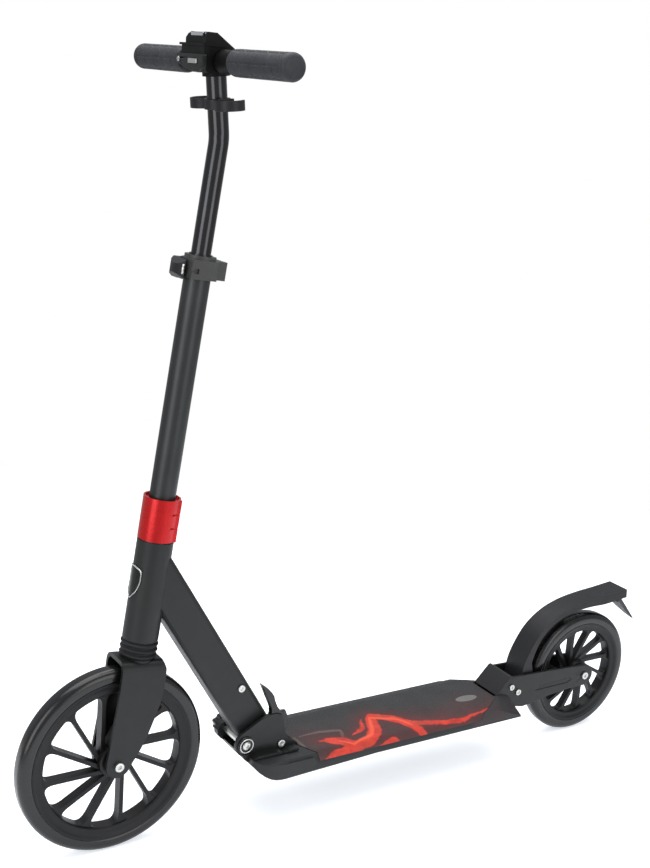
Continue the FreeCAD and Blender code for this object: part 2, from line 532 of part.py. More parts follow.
B, C, D = (34.0, 91.0), (50.5, 87.5), (53.5, 77.4)
o1 = ((0.0, 91.0 + t), (34.0, 91.0 + t))
o2 = offset_line(B, C, t)
o3 = offset_line(C, D, t)
Bo, Co, Do = meet(*o1, *o2), meet(*o2, *o3), o3[1]
sec = [D, Do, Co, Bo]
sec = sec + [(-y, z) for y, z in reversed(sec)] + [(-C[0], C[1]), (-B[0], B[1]), B, C]
sheet = prism_x(sec, fx(-566.0), fx(-238.0))
sheet_plan = [(fx(-242.0), -32.0), (fx(-264.0), -60.0), (fx(-505.0), -60.0), (fx(-538.0), -44.0), (fx(-560.0), -29.0),
              (fx(-560.0), 29.0), (fx(-538.0), 44.0), (fx(-505.0), 60.0), (fx(-264.0), 60.0), (fx(-242.0), 32.0)]
sheet = sheet.common(prism_z(sheet_plan, 60, 100))
# plain oval plate, let into the sheet
ov = []
ox_, oy_ = fx(-521.0), 14.0
for i in range(40):
    a = 2 * math.pi * i / 40
    ov.append((ox_ + 17.5 * math.cos(a), oy_ + 7.6 * math.sin(a)))
sheet = sheet.cut(prism_z(ov, 80.0, 100.0))
save("grip_sheet", sheet.removeSplitter())
save("deck_plate", prism_z(ov, deck_top, deck_top + t - 0.05))

# ---------------------------------------------------------------- rear casting, cover, brake
rx, rz = fx(-wheelbase), rear_r
ri, ro = 19.0, 23.0
rear_side = [(fx(-562.2), 74.0), (fx(-562.2), 84.0), (fx(-572.0), 91.2), (fx(-590.0), 110.5), (fx(-596.0), 112.8),
             (fx(-625.0), 111.8), (fx(-655.0), 110.6), (fx(-700.0), 108.4)]
for i in range(10):
    a = math.radians(85 + 20 * i)
    rear_side.append((rx + 16.0 * math.cos(a), rz + 16.0 * math.sin(a)))
rear_side += [(fx(-706.0), 74.0), (fx(-668.0), 71.0), (fx(-634.0), 65.0), (fx(-618.0), 63.5), (fx(-604.0), 66.5),
              (fx(-596.0), 70.5), (fx(-570.0), 70.5)]
sideL = prism_y(rear_side, ri, ro)
sideR = prism_y(rear_side, -ro, -ri)
web = box(fx(-590.0), fx(-562.2), -ro, ro, 70.5, 84.0)
casting = fuse(sideL, sideR, web)
casting = casting.cut(ycyl(rx, rz, axle_r + 0.02, -40, 40))
b1, b2 = (fx(-593.5), 98.0), (fx(-606.5), 88.4)
casting = casting.cut(ycyl(b1[0], b1[1], 2.5, -40, 40)).cut(ycyl(b2[0], b2[1], 3.0, -40, 40))
for s in (1, -1):                       # long pressed recess in each outer face
    a_, b_ = sorted((s * 22.2, s * 30))
    casting = casting.cut(prism_y([(fx(-640.0), 84.0), (fx(-644.0), 88.5), (fx(-704.0), 92.0), (fx(-708.0), 88.0),
                                   (fx(-700.0), 84.5)], a_, b_))
casting = casting.removeSplitter()
save("rear_casting", casting)
cover = prism_y([(fx(-571.2), 91.1), (fx(-590.6), 112.1), (fx(-593.6), 114.2), (fx(-591.2), 115.0), (fx(-588.6), 113.8),
                 (fx(-566.4), 91.1)], -24.4, 24.4)
save("rear_cover", cover)
rb = bolt_y(b1[0], b1[1], 2.5, 4.2, 2.2, ro, -ro - 4.0, 2.0)
save("cover_bolt", solids(rb, hex_nut(b1[0], b1[1], 8.0, 2.5, -ro - 4.0, -ro)))
fb = bolt_y(b2[0], b2[1], 3.0, 4.4, 2.2, ro, -ro - 4.5, 2.3)
save("fender_pivot", solids(fb, hex_nut(b2[0], b2[1], 9.0, 3.0, -ro - 4.5, -ro)))
ra = bolt_y(rx, rz, axle_r, 5.4, 3.0, ro, -ro - 5.5, 2.6)
save("rear_axle", solids(ra, hex_nut(rx, rz, 12.0, axle_r, -ro - 5.5, -ro)))
rsp = [yring(rx, rz, 7.0, axle_r, 12.9, ri), yring(rx, rz, 7.0, axle_r, -ri, -12.9)]
save("rear_spacers", solids(*rsp))

# fender: curved strip with side lips, tail kick and mud flap
fo = [(-613.0, 100.0), (-615.2, 112.0), (-618.5, 127.0), (-627.8, 147.0), (-643.5, 169.0), (-668.0, 187.0),
      (-697.7, 198.0), (-733.6, 204.0), (-766.8, 206.8), (-801.5, 210.5)]


def curve_pts(pts, n=6):
    """Smooth the outline with a Catmull-Rom walk."""
    out = []
    P = [pts[0]] + list(pts) + [pts[-1]]
    for i in range(1, len(P) - 2):
        p0, p1, p2, p3 = P[i - 1], P[i], P[i + 1], P[i + 2]
        for k in range(n):
            t_ = k / float(n)
            out.append(tuple(0.5 * ((2 * p1[j]) + (-p0[j] + p2[j]) * t_ + (2 * p0[j] - 5 * p1[j] + 4 * p2[j] - p3[j]) * t_ ** 2
                                    + (-p0[j] + 3 * p1[j] - 3 * p2[j] + p3[j]) * t_ ** 3) for j in (0, 1)))
    out.append(pts[-1])
    return out


top_line = curve_pts(fo, 4)


def offset_pts(pts, depth):
    """Offset towards the wheel, depth given as a function of the position along the line."""
    out = []
    n = len(pts)
    for i, (x, z) in enumerate(pts):
        a = pts[max(i - 1, 0)]
        b = pts[min(i + 1, n - 1)]
        ux, uz = b[0] - a[0], b[1] - a[1]
        L = math.hypot(ux, uz)
        d = depth(i / float(n - 1))
        out.append((x - uz / L * d, z + ux / L * d))
    return out


def fxs(pts):
    return [(fx(x), z) for x, z in pts]


skin_low = offset_pts(top_line, lambda s: 3.0)
lip_low = offset_pts(top_line, lambda s: 12.5 - 6.0 * math.sin(math.pi * min(max((s - 0.25) / 0.6, 0), 1)))
skin = prism_y(fxs(top_line + list(reversed(skin_low))), -17.8, 17.8)
lips = [prism_y(fxs(top_line + list(reversed(lip_low))), a, b) for a, b in ((15.2, 17.8), (-17.8, -15.2))]
tail = prism_y(fxs([(-801.5, 210.5), (-801.0, 207.0), (-790.0, 196.0), (-786.0, 193.0), (-784.0, 206.0)]), -17.8, 17.8)
# foot block down to the pivot
foot = prism_y(fxs([(-613.0, 100.0), (-616.5, 116.0), (-620.0, 129.0), (-631.0, 127.0), (-634.5, 113.0), (-630.0, 101.0),
                    (-614.0, 84.5), (-600.0, 86.0), (-600.5, 94.0)]), -17.8, 17.8)
foot = foot.fuse(ycyl(b2[0], b2[1], 7.0, -18.4, 18.4))
# flap: curved blade that narrows to its tip
flap_side = fxs([(-783.0, 199.5), (-797.0, 187.0), (-812.0, 173.5), (-826.0, 162.0), (-838.5, 153.2), (-839.0, 154.6),
                 (-828.0, 165.5), (-815.0, 178.5), (-800.0, 192.5), (-789.5, 203.0)])
flap = prism_y(flap_side, -17.8, 17.8)
flap = flap.common(prism_z([(fx(-775), -17.8), (fx(-775), 17.8), (fx(-792), 15.0), (fx(-812), 9.0), (fx(-840), 2.0),
                            (fx(-840), -2.0), (fx(-812), -9.0), (fx(-792), -15.0)], 100, 260))
fender = fuse(skin, lips[0], lips[1], tail, foot, flap)
fender = fender.cut(ycyl(b2[0], b2[1], 3.0 + run_gap, -30, 30))
fender = max(fender.Solids, key=lambda s: s.Volume)
save("fender", fender)
# steel friction plate under the fender
pad_out = [p for p in skin_low if -752 < p[0] < -694]
pad_in = offset_pts(pad_out, lambda s: 3.0)
pad = prism_y(fxs(pad_out + list(reversed(pad_in))), -12.0, 12.0)
save("brake_plate", pad)

# ---------------------------------------------------------------- telescopic T tube
bd = math.radians(bend_deg)
tl = bend_r * math.tan(bd / 2)
p0 = V(0, 0, tbar_u0)
p1 = V(0, 0, bend_u - tl)
p2 = V(tl * math.sin(bd), 0, bend_u + tl * math.cos(bd))
c_ = V(bend_r, 0, bend_u - tl)
am = bd / 2
pm = V(bend_r - bend_r * math.cos(am), 0, bend_u - tl + bend_r * math.sin(am))
up_len = 60.0
p3 = V(p2.x + up_len * math.sin(bd), 0, p2.z + up_len * math.cos(bd))


def t_tube(r, cap=0.0):
    wire = Part.Wire([Part.LineSegment(p0 - V(0, 0, cap), p1).toShape(), Part.Arc(p1, pm, p2).toShape(),
                      Part.LineSegment(p2, p3 + (p3 - p2).normalize() * cap if cap else p3).toShape()])
    circ = Part.Wire([Part.Circle(p0 - V(0, 0, cap), V(0, 0, 1), r).toShape()])
    return wire.makePipeShell([circ], True, False)


tt = t_tube(inner_r)
ti = t_tube(inner_ri)
tube = tt.cut(ti)
save("t_tube", steer(tube))

# steering-frame direction of the upper part, in the row frame
lean = math.radians(bend_deg - rake_deg)
up = V(math.sin(lean), 0, math.cos(lean))


def on_up(s_along):
    """Row-frame point on the upper tube's axis at a distance above the bend point."""
    q = V(0, 0, bend_u) + V(math.sin(bd), 0, math.cos(bd)) * s_along
    m_ = FreeCAD.Placement(V(fx(steer_foot_x), 0, 0), FreeCAD.Rotation(V(0, 1, 0), -rake_deg))
    return m_.multVec(q)


def at_up(s, s_along):
    s = s.copy()
    s.Placement = FreeCAD.Placement(on_up(s_along), FreeCAD.Rotation(V(0, 1, 0), math.degrees(lean)))
    return s


# grip holder: ring round the tube with an open clip on each side
clip = ring_z(14.2, inner_r + 0.02, -5.5, 5.5)
for s in (1, -1):
    c = Part.makeCylinder(16.4, 11.0, V(0, s * 27.5, -5.5))
    clip = clip.fuse(c)
for s in (1, -1):
    clip = clip.cut(Part.makeCylinder(14.0, 13.0, V(0, s * 27.5, -6.5)))
    ang = math.radians(50)
    clip = clip.cut(prism_z([(-2.0, s * 27.5), (-2.0 - 30 * math.cos(ang), s * 27.5 + 30 * math.sin(ang)),
                             (-40, s * 27.5), (-2.0 - 30 * math.cos(ang), s * 27.5 - 30 * math.sin(ang))], -7, 7))
clip = clip.cut(Part.makeCylinder(inner_r + 0.02, 20, V(0, 0, -10)))
clip = max(clip.removeSplitter().Solids, key=lambda s: s.Volume)
save("grip_clip", at_up(clip, 37.0))

# head block that holds the two handles
hb = prism_y(fxs([(-64.5, 931.0), (-66.5, 933.2), (-77.0, 933.0), (-99.0, 918.2), (-101.2, 908.0), (-101.2, 902.0), (-97.0, 892.5),
                  (-68.0, 892.5), (-64.5, 897.0), (-64.5, 919.2)]), -25.0, 25.0)
hb = hb.fuse(box(fx(-68.0), fx(-62.0), -24.5, 27.0, 910.6, 919.3))
hb = hb.cut(prism_x([(-26.0, 921.6), (-20.8, 921.6), (-20.8, 927.0), (-13.5, 932.4), (-12.0, 934.5), (-26.0, 934.5)], fx(-102.0), fx(-60.0)))
hb = hb.fuse(box(fx(-90.0), fx(-60.8), -28.0, 27.5, 919.2, 921.6))        # shelf under the cap
hb = hb.fuse(at_up(Part.makeCylinder(14.6, 14.0, V(0, 0, -4.5)), 70.0))
hb = hb.cut(box(fx(-70.5), fx(-60.0), -11.5, 16.5, 929.0, 940.0))        # notches for the top inserts
hb = hb.cut(box(fx(-74.5), fx(-60.0), 19.6, 22.4, 928.4, 940.0))
hb = hb.cut(ycyl(fx(bar_x), bar_z, inner_r + run_gap, -40, 40))
tcut = Part.makeCylinder(inner_r, 60, V(0, 0, -60.0))
hb = hb.cut(at_up(tcut, 72.0))
hb = hb.cut(box(fx(-68.0), fx(-60.0), -0.4, 19.4, 900.6, 906.4))           # room behind the button
hb = hb.cut(cyl((fx(-66.6), -23.0, 904.6), (1, 0, 0), 1.6, 10.0))
hb = max(hb.removeSplitter().Solids, key=lambda s: s.Volume)
save("head_block", hb)
save("head_insert", solids(box(fx(-70.3), fx(-65.0), -11.3, 16.3, 929.1, 932.6), box(fx(-74.3), fx(-65.2), 19.7, 22.3, 928.5, 932.3)))

# front plate with a rounded lower edge; holds the latch button
fp = [(-29.0, 910.5), (-29.0, 903.5), (-25.0, 900.6), (-10.0, 896.3), (8.0, 893.2), (22.0, 893.0), (27.5, 896.0), (29.0, 900.0),
      (29.0, 910.5)]
front_plate = prism_x([(y, z) for y, z in fp], fx(-64.4), fx(-58.5))
front_plate = front_plate.cut(box(fx(-66.0), fx(-50.0), -0.2, 19.2, 900.8, 906.2))
front_plate = front_plate.cut(cyl((fx(-70.0), -23.0, 904.6), (1, 0, 0), 1.6, 20))
save("latch_plate", front_plate)
save("latch_button", box(fx(-64.2), fx(-57.0), 0.1, 18.9, 901.1, 905.9))
ls = cyl((fx(-66.4), -23.0, 904.6), (1, 0, 0), 1.6, 8.0).fuse(cyl((fx(-58.5), -23.0, 904.6), (1, 0, 0), 2.6, 1.2))
save("latch_screw", ls.removeSplitter())

# handles: bar stub, ribbed grip and end plug on each side
for side_name, s in (("left", 1), ("right", -1)):
    def yy(a, b):
        return min(s * a, s * b), max(s * a, s * b)
    y0, y1 = yy(2.0, bar_end - 7.5)
    stub = yring(fx(bar_x), bar_z, inner_r, 9.0, y0, y1)
    save("bar_stub_" + side_name, stub)
    y0, y1 = yy(grip_in, bar_end - 7.5)
    g = yring(fx(bar_x), bar_z, grip_r, inner_r, y0, y1)
    y0, y1 = yy(27.0, grip_in)
    g = g.fuse(yring(fx(bar_x), bar_z, 12.6, inner_r, y0, y1))
    y0, y1 = yy(bar_end - 7.5, bar_end)
    cap = ycyl(fx(bar_x), bar_z, grip_r, y0, y1)
    yend = s * bar_end
    ce = [e for e in cap.Edges if e.Curve.TypeId == "Part::GeomCircle"
          and abs(e.CenterOfMass.y - yend) < 0.1 and e.Length > 50]
    cap = cap.makeFillet(6.0, ce)
    g = g.fuse(cap)
    save("grip_" + side_name, g.removeSplitter())
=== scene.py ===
import bpy
import bmesh
import math
import json
import random
from mathutils import Vector, Matrix


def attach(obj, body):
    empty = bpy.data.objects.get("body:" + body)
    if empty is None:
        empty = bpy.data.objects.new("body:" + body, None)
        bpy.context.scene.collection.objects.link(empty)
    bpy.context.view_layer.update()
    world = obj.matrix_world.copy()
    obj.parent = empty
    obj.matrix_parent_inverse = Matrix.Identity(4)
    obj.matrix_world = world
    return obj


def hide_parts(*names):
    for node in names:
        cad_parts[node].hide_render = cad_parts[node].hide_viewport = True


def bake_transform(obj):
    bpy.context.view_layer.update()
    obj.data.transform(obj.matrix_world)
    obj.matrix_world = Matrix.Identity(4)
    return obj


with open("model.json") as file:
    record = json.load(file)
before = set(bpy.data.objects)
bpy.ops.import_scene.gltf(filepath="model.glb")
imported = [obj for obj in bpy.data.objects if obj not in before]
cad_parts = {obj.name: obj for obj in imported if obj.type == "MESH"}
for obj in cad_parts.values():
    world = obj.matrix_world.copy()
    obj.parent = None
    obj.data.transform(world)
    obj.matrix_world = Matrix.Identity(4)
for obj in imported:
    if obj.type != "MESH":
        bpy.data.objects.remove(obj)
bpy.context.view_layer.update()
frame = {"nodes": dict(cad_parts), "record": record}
nodes = frame["nodes"]
random.seed(7)
D = bpy.data
scene = bpy.context.scene

# ------------------------------------------------------------------ frame helpers (millimetres in, metres out)
SA, CA = math.sin(math.radians(6.84)), math.cos(math.radians(6.84))


def fx(x):
    return (x + 362.0) / 1000.0


def steer_pt(w, y, u):
    return Vector(((361.8 + CA * w - SA * u) / 1000, y / 1000, (SA * w + CA * u) / 1000))


STEER = Matrix(((CA, 0, -SA, 0.3618), (0, 1, 0, 0), (SA, 0, CA, 0), (0, 0, 0, 1)))


def along_y(x, z, y=0.0):
    """Local z becomes +Y, at (x, y, z) in metres."""
    return Matrix.Translation((x, y, z)) @ Matrix.Rotation(math.radians(-90), 4, "X")


# ------------------------------------------------------------------ node material helpers
class Mat:
    def __init__(self, name):
        self.m = D.materials.new(name)
        self.m.use_nodes = True
        self.t = self.m.node_tree
        self.n = self.t.nodes
        self.l = self.t.links
        self.n.clear()
        self.out = self.n.new("ShaderNodeOutputMaterial")
        self.b = self.n.new("ShaderNodeBsdfPrincipled")
        self.l.new(self.b.outputs[0], self.out.inputs[0])
        tc = self.n.new("ShaderNodeTexCoord")
        self.obj = tc.outputs["Object"]

    def math(self, op, a, b=None, c=None, clamp=False):
        nd = self.n.new("ShaderNodeMath")
        nd.operation = op
        nd.use_clamp = clamp
        for i, v in enumerate((a, b, c)):
            if v is None:
                continue
            if isinstance(v, (int, float)):
                nd.inputs[i].default_value = v
            else:
                self.l.new(v, nd.inputs[i])
        return nd.outputs[0]

    def vmath(self, op, a, b=None, scale=None):
        nd = self.n.new("ShaderNodeVectorMath")
        nd.operation = op
        for i, v in enumerate((a, b)):
            if v is None:
                continue
            if isinstance(v, (tuple, list, Vector)):
                nd.inputs[i].default_value = tuple(v)
            else:
                self.l.new(v, nd.inputs[i])
        if scale is not None:
            if isinstance(scale, (int, float)):
                nd.inputs["Scale"].default_value = scale
            else:
                self.l.new(scale, nd.inputs["Scale"])
        return nd.outputs["Value"] if op in ("DOT_PRODUCT", "LENGTH", "DISTANCE") else nd.outputs["Vector"]

    def noise(self, scale, detail=3.0, rough=0.55, vec=None, distortion=0.0):
        nd = self.n.new("ShaderNodeTexNoise")
        nd.inputs["Scale"].default_value = scale
        nd.inputs["Detail"].default_value = detail
        nd.inputs["Roughness"].default_value = rough
        nd.inputs["Distortion"].default_value = distortion
        self.l.new(vec if vec is not None else self.obj, nd.inputs["Vector"])
        return nd.outputs["Fac"]

    def voronoi(self, scale, feature="F1", vec=None):
        nd = self.n.new("ShaderNodeTexVoronoi")
        nd.feature = feature
        nd.inputs["Scale"].default_value = scale
        self.l.new(vec if vec is not None else self.obj, nd.inputs["Vector"])
        return nd.outputs["Distance"]

    def ramp(self, fac, stops, interp="LINEAR"):
        nd = self.n.new("ShaderNodeValToRGB")
        nd.color_ramp.interpolation = interp
        e = nd.color_ramp.elements
        while len(e) > 1:
            e.remove(e[0])
        e[0].position, e[0].color = stops[0][0], rgba(stops[0][1])
        for p, c in stops[1:]:
            x = e.new(p)
            x.color = rgba(c)
        self.l.new(fac, nd.inputs[0])
        return nd.outputs[0]

    def remap(self, v, a, b, c, d, clamp=True):
        nd = self.n.new("ShaderNodeMapRange")
        nd.clamp = clamp
        self.l.new(v, nd.inputs[0])
        for i, q in enumerate((a, b, c, d)):
            nd.inputs[i + 1].default_value = q
        return nd.outputs[0]

    def mix(self, fac, a, b, mode="MIX"):
        nd = self.n.new("ShaderNodeMix")
        nd.data_type = "RGBA"
        nd.blend_type = mode
        if isinstance(fac, (int, float)):
            nd.inputs[0].default_value = fac
        else:
            self.l.new(fac, nd.inputs[0])
        for i, v in ((6, a), (7, b)):
            if isinstance(v, (tuple, list)):
                nd.inputs[i].default_value = rgba(v)
            else:
                self.l.new(v, nd.inputs[i])
        return nd.outputs[2]

    def bump(self, height, strength=0.3, distance=0.0002, normal=None):
        nd = self.n.new("ShaderNodeBump")
        nd.inputs["Strength"].default_value = strength
        nd.inputs["Distance"].default_value = distance
        self.l.new(height, nd.inputs["Height"])
        if normal is not None:
            self.l.new(normal, nd.inputs["Normal"])
        return nd.outputs[0]

    def set(self, **kw):
        names = {"color": "Base Color", "rough": "Roughness", "metal": "Metallic", "normal": "Normal",
                 "coat": "Coat Weight", "coat_rough": "Coat Roughness", "spec": "Specular IOR Level",
                 "ior": "IOR", "sheen": "Sheen Weight", "aniso": "Anisotropic"}
        for k, v in kw.items():
            s = self.b.inputs[names[k]]
            if isinstance(v, (int, float)):
                s.default_value = v
            elif isinstance(v, (tuple, list)):
                s.default_value = rgba(v)
            else:
                self.l.new(v, s)
        return self.m


def rgba(c):
    return tuple(c) + (1.0,) if len(c) == 3 else tuple(c)


def srgb(r, g, b):
    def f(v):
        v /= 255.0
        return v / 12.92 if v <= 0.04045 else ((v + 0.055) / 1.055) ** 2.4
    return (f(r), f(g), f(b))


MATS = {}


def coat_mat(name, col, var=0.25, rough=0.42, bump=0.35, grain=900.0, metal=0.0, coat=0.0, coat_rough=0.2, spec=0.5,
             wear=0.0, wear_col=(0.2, 0.2, 0.2)):
    """Painted, anodised or moulded surface: fine grain, faint mottling, slight rub marks."""
    k = Mat(name)
    big = k.noise(22.0, 4.0, 0.6)
    fine = k.noise(grain, 2.0, 0.5)
    dark = tuple(c * (1 - var) for c in col)
    lite = tuple(min(1, c * (1 + var)) for c in col)
    c = k.ramp(big, [(0.3, dark), (0.7, lite)])
    if wear > 0:
        rub = k.noise(60.0, 6.0, 0.75)
        rub = k.remap(rub, 0.62, 0.74, 0.0, wear)
        c = k.mix(rub, c, wear_col)
    r = k.remap(k.noise(70.0, 3.0, 0.6), 0.3, 0.7, rough - 0.05, rough + 0.06)
    nrm = k.bump(fine, bump, 0.00012)
    MATS[name] = k.set(color=c, rough=r, metal=metal, normal=nrm, coat=coat, coat_rough=coat_rough, spec=spec)
    return MATS[name]


coat_mat("powder_black", srgb(28, 29, 29), 0.12, 0.44, 0.4, 1100.0, spec=0.34, wear=0.05, wear_col=srgb(66, 66, 68))
coat_mat("fork_black", srgb(19, 20, 20), 0.12, 0.4, 0.35, 1200.0, spec=0.36)
coat_mat("moulded_black", srgb(25, 25, 28), 0.14, 0.46, 0.4, 1500.0, spec=0.34)
coat_mat("wheel_black", srgb(13, 13, 14), 0.12, 0.42, 0.3, 1500.0, spec=0.3)
coat_mat("gloss_black", srgb(9, 9, 10), 0.2, 0.26, 0.12, 800.0, spec=0.35, coat=0.3, coat_rough=0.1)
coat_mat("head_black", srgb(11, 11, 12), 0.15, 0.5, 0.3, 1200.0, spec=0.16)
coat_mat("deck_black", srgb(25, 26, 27), 0.14, 0.4, 0.35, 1200.0, spec=0.36, wear=0.04, wear_col=srgb(70, 70, 72))
coat_mat("clamp_grey", srgb(58, 58, 58), 0.12, 0.42, 0.35, 1300.0, spec=0.4)
coat_mat("boot_rubber", srgb(24, 25, 26), 0.12, 0.55, 0.3, 1600.0, spec=0.3)
coat_mat("plate_grey", srgb(112, 110, 108), 0.1, 0.4, 0.25, 900.0, metal=0.3)


def tube_mat(name, col, rough, metal, coat=0.0, aniso=0.0, lines=2600.0, bump=0.1):
    """Drawn tube: faint lines along its length over an anodised surface."""
    k = Mat(name)
    mp = k.n.new("ShaderNodeMapping")
    mp.inputs["Scale"].default_value = (1.0, 1.0, 0.012)
    k.l.new(k.obj, mp.inputs["Vector"])
    ln = k.noise(lines, 2.0, 0.5, vec=mp.outputs[0])
    big = k.noise(14.0, 3.0, 0.55)
    c = k.ramp(big, [(0.3, tuple(v * 0.88 for v in col)), (0.7, tuple(min(1, v * 1.12) for v in col))])
    r = k.remap(ln, 0.3, 0.7, rough - 0.015, rough + 0.025)
    MATS[name] = k.set(color=c, rough=r, metal=metal, coat=coat, coat_rough=0.1, aniso=aniso,
                       normal=k.bump(ln, bump, 0.00005))
    return MATS[name]


tube_mat("charcoal_tube", srgb(58, 60, 61), 0.38, 0.7)
tube_mat("gunmetal_tube", srgb(64, 64, 66), 0.17, 0.95, bump=0.02)


def metal_mat(name, col, rough, scratch=0.25):
    k = Mat(name)
    fine = k.noise(1800.0, 3.0, 0.6)
    mott = k.noise(160.0, 4.0, 0.65)
    c = k.ramp(mott, [(0.3, tuple(v * 0.8 for v in col)), (0.7, col)])
    r = k.remap(mott, 0.3, 0.7, rough, rough + 0.14)
    MATS[name] = k.set(color=c, rough=r, metal=1.0, normal=k.bump(fine, scratch, 0.00008))
    return MATS[name]


metal_mat("zinc", srgb(214, 214, 210), 0.24)
metal_mat("steel_dark", srgb(112, 112, 116), 0.34)
metal_mat("chrome_trim", srgb(226, 226, 228), 0.1, 0.08)

# red anodised collar: vertical brushing, deeper red in the shade
k = Mat("red_anodised")
mp = k.n.new("ShaderNodeMapping")
mp.inputs["Scale"].default_value = (1.0, 1.0, 0.03)
k.l.new(k.obj, mp.inputs["Vector"])
ln = k.noise(3000.0, 2.0, 0.5, vec=mp.outputs[0])
c = k.ramp(k.noise(40.0, 3.0), [(0.3, srgb(184, 14, 18)), (0.7, srgb(196, 18, 22))])
MATS["red_anodised"] = k.set(color=c, rough=k.remap(ln, 0.3, 0.7, 0.24, 0.34), metal=0.6, coat=0.2, coat_rough=0.15,
                             normal=k.bump(ln, 0.12, 0.00005))

# cast polyurethane tyre: glossy crown, faint moulding marks
k = Mat("tyre_pu")
c = k.ramp(k.noise(30.0, 4.0, 0.6), [(0.3, srgb(12, 12, 13)), (0.7, srgb(19, 19, 20))])
dust = k.remap(k.noise(140.0, 6.0, 0.7), 0.6, 0.75, 0.0, 0.14)
c = k.mix(dust, c, srgb(46, 46, 46))
MATS["tyre_pu"] = k.set(color=c, rough=k.remap(k.noise(90.0, 4.0), 0.3, 0.7, 0.2, 0.3), spec=0.4,
                        coat=0.2, coat_rough=0.1, normal=k.bump(k.noise(700.0, 2.0), 0.12, 0.0001))

# grip rubber, dark blue-grey, fine pebble
k = Mat("grip_rubber")
c = k.ramp(k.noise(50.0, 4.0, 0.6), [(0.3, srgb(38, 39, 43)), (0.7, srgb(48, 49, 55))])
peb = k.voronoi(1500.0)
MATS["grip_rubber"] = k.set(color=c, rough=k.remap(k.noise(120.0, 4.0), 0.3, 0.7, 0.5, 0.66), spec=0.4,
                            normal=k.bump(peb, 0.25, 0.00015))

# ------------------------------------------------------------------ printed grip sheet
k = Mat("sheet_print")
sep = k.n.new("ShaderNodeSeparateXYZ")
k.l.new(k.obj, sep.inputs[0])
flat = k.n.new("ShaderNodeCombineXYZ")
k.l.new(sep.outputs[0], flat.inputs[0])
k.l.new(sep.outputs[1], flat.inputs[1])
side_drop = k.math("MULTIPLY", k.math("SUBTRACT", 0.0918, sep.outputs[2]), 1.0)
yy = k.math("ADD", k.math("ABSOLUTE", sep.outputs[1]), side_drop)
yy = k.math("MULTIPLY", yy, k.math("SIGN", sep.outputs[1]))
k.l.new(yy, flat.inputs[1])
P = flat.outputs[0]
wob = k.n.new("ShaderNodeTexNoise")
wob.inputs["Scale"].default_value = 24.0
wob.inputs["Detail"].default_value = 2.0
k.l.new(P, wob.inputs["Vector"])
wv = k.vmath("SCALE", k.vmath("SUBTRACT", wob.outputs["Color"], (0.5, 0.5, 0.5)), scale=0.012)
PW = k.vmath("ADD", P, wv)
PW = k.vmath("MULTIPLY", PW, (1, 1, 0))


def stroke(pts):
    """Signed width minus distance to a bent ribbon; pts are (x_from_front_axle, y, half_width) in mm."""
    res = None
    for (xa, ya, wa), (xb, yb, wb) in zip(pts, pts[1:]):
        a = Vector((fx(xa), ya / 1000, 0))
        b = Vector((fx(xb), yb / 1000, 0))
        ab = b - a
        pa = k.vmath("SUBTRACT", PW, a)
        t = k.math("DIVIDE", k.vmath("DOT_PRODUCT", pa, ab), ab.length_squared, clamp=True)
        near = k.vmath("SCALE", tuple(ab), scale=t)
        dist = k.vmath("DISTANCE", pa, near)
        width = k.math("MULTIPLY_ADD", t, (wb - wa) / 1000.0, wa / 1000.0)
        v = k.math("SUBTRACT", width, dist)
        res = v if res is None else k.math("MAXIMUM", res, v)
    return res


main = stroke([(-272, 34, 2.0), (-284, 37, 6.5), (-300, 44, 9.5), (-314, 58, 9.0), (-336, 57, 10.0), (-352, 38, 9.5), (-364, 14, 8.5), (-370, 4, 6.5),
               (-388, 18, 7.5), (-408, 44, 7.0), (-428, 76, 3.0)])
tail = stroke([(-404, 40, 5.0), (-446, 52, 4.6), (-488, 60, 3.6), (-548, 48, 0.8)])
low = stroke([(-250, 84, 5.0), (-277, 68, 8.0), (-300, 62, 7.0), (-336, 78, 4.2), (-372, 66, 7.0), (-400, 86, 2.0)])
curl = stroke([(-318, 36, 1.0), (-341, 28, 3.4), (-352, 6, 1.2)])
hi = stroke([(-296, 41, 0.8), (-314, 54, 2.4), (-343, 44, 2.8), (-366, 8, 2.0), (-392, 22, 2.6), (-408, 44, 0.8)])
arc1 = stroke([(-246, 14, 0.6), (-245, 34, 1.4), (-248, 56, 1.6), (-259, 77, 0.8)])
arc2 = stroke([(-253, 15, 0.5), (-284, 11, 2.2), (-310, 20, 1.6), (-305, 36, 0.6)])
ink = k.math("MAXIMUM", k.math("MAXIMUM", main, tail), k.math("MAXIMUM", low, curl))
fray = k.math("MULTIPLY", k.math("SUBTRACT", k.noise(120.0, 4.0, 0.7, vec=P), 0.5), 0.007)
ink = k.math("ADD", ink, fray)
solid = k.remap(ink, -0.0008, 0.0014, 0.0, 1.0)
wash = k.remap(k.noise(38.0, 3.0, 0.6, vec=P), 0.42, 0.66, 0.0, 0.55)
glow = k.remap(ink, -0.032, 0.0, 0.0, 1.0)
glow = k.math("MULTIPLY", k.math("POWER", glow, 2.0), 0.42)
hot = k.remap(hi, -0.0015, 0.0012, 0.0, 1.0)
haze = k.math("MULTIPLY", k.remap(k.noise(16.0, 4.0, 0.6, vec=P), 0.4, 0.7, 0.0, 1.0), 0.5)
haze = k.math("MULTIPLY", haze, k.remap(sep.outputs[1], -0.02, 0.040, 0.0, 1.3))
base = k.ramp(k.noise(30.0, 5.0, 0.65), [(0.3, srgb(38, 39, 40)), (0.7, srgb(48, 49, 50))])
speck = k.remap(k.noise(2300.0, 2.0, 0.6), 0.55, 0.75, 0.0, 0.5)
base = k.mix(speck, base, srgb(72, 73, 75))
base = k.mix(haze, base, srgb(84, 42, 42))
streak = k.n.new("ShaderNodeMapping")
streak.inputs["Rotation"].default_value = (0, 0, 0.5)
streak.inputs["Scale"].default_value = (5.0, 60.0, 1.0)
k.l.new(P, streak.inputs["Vector"])
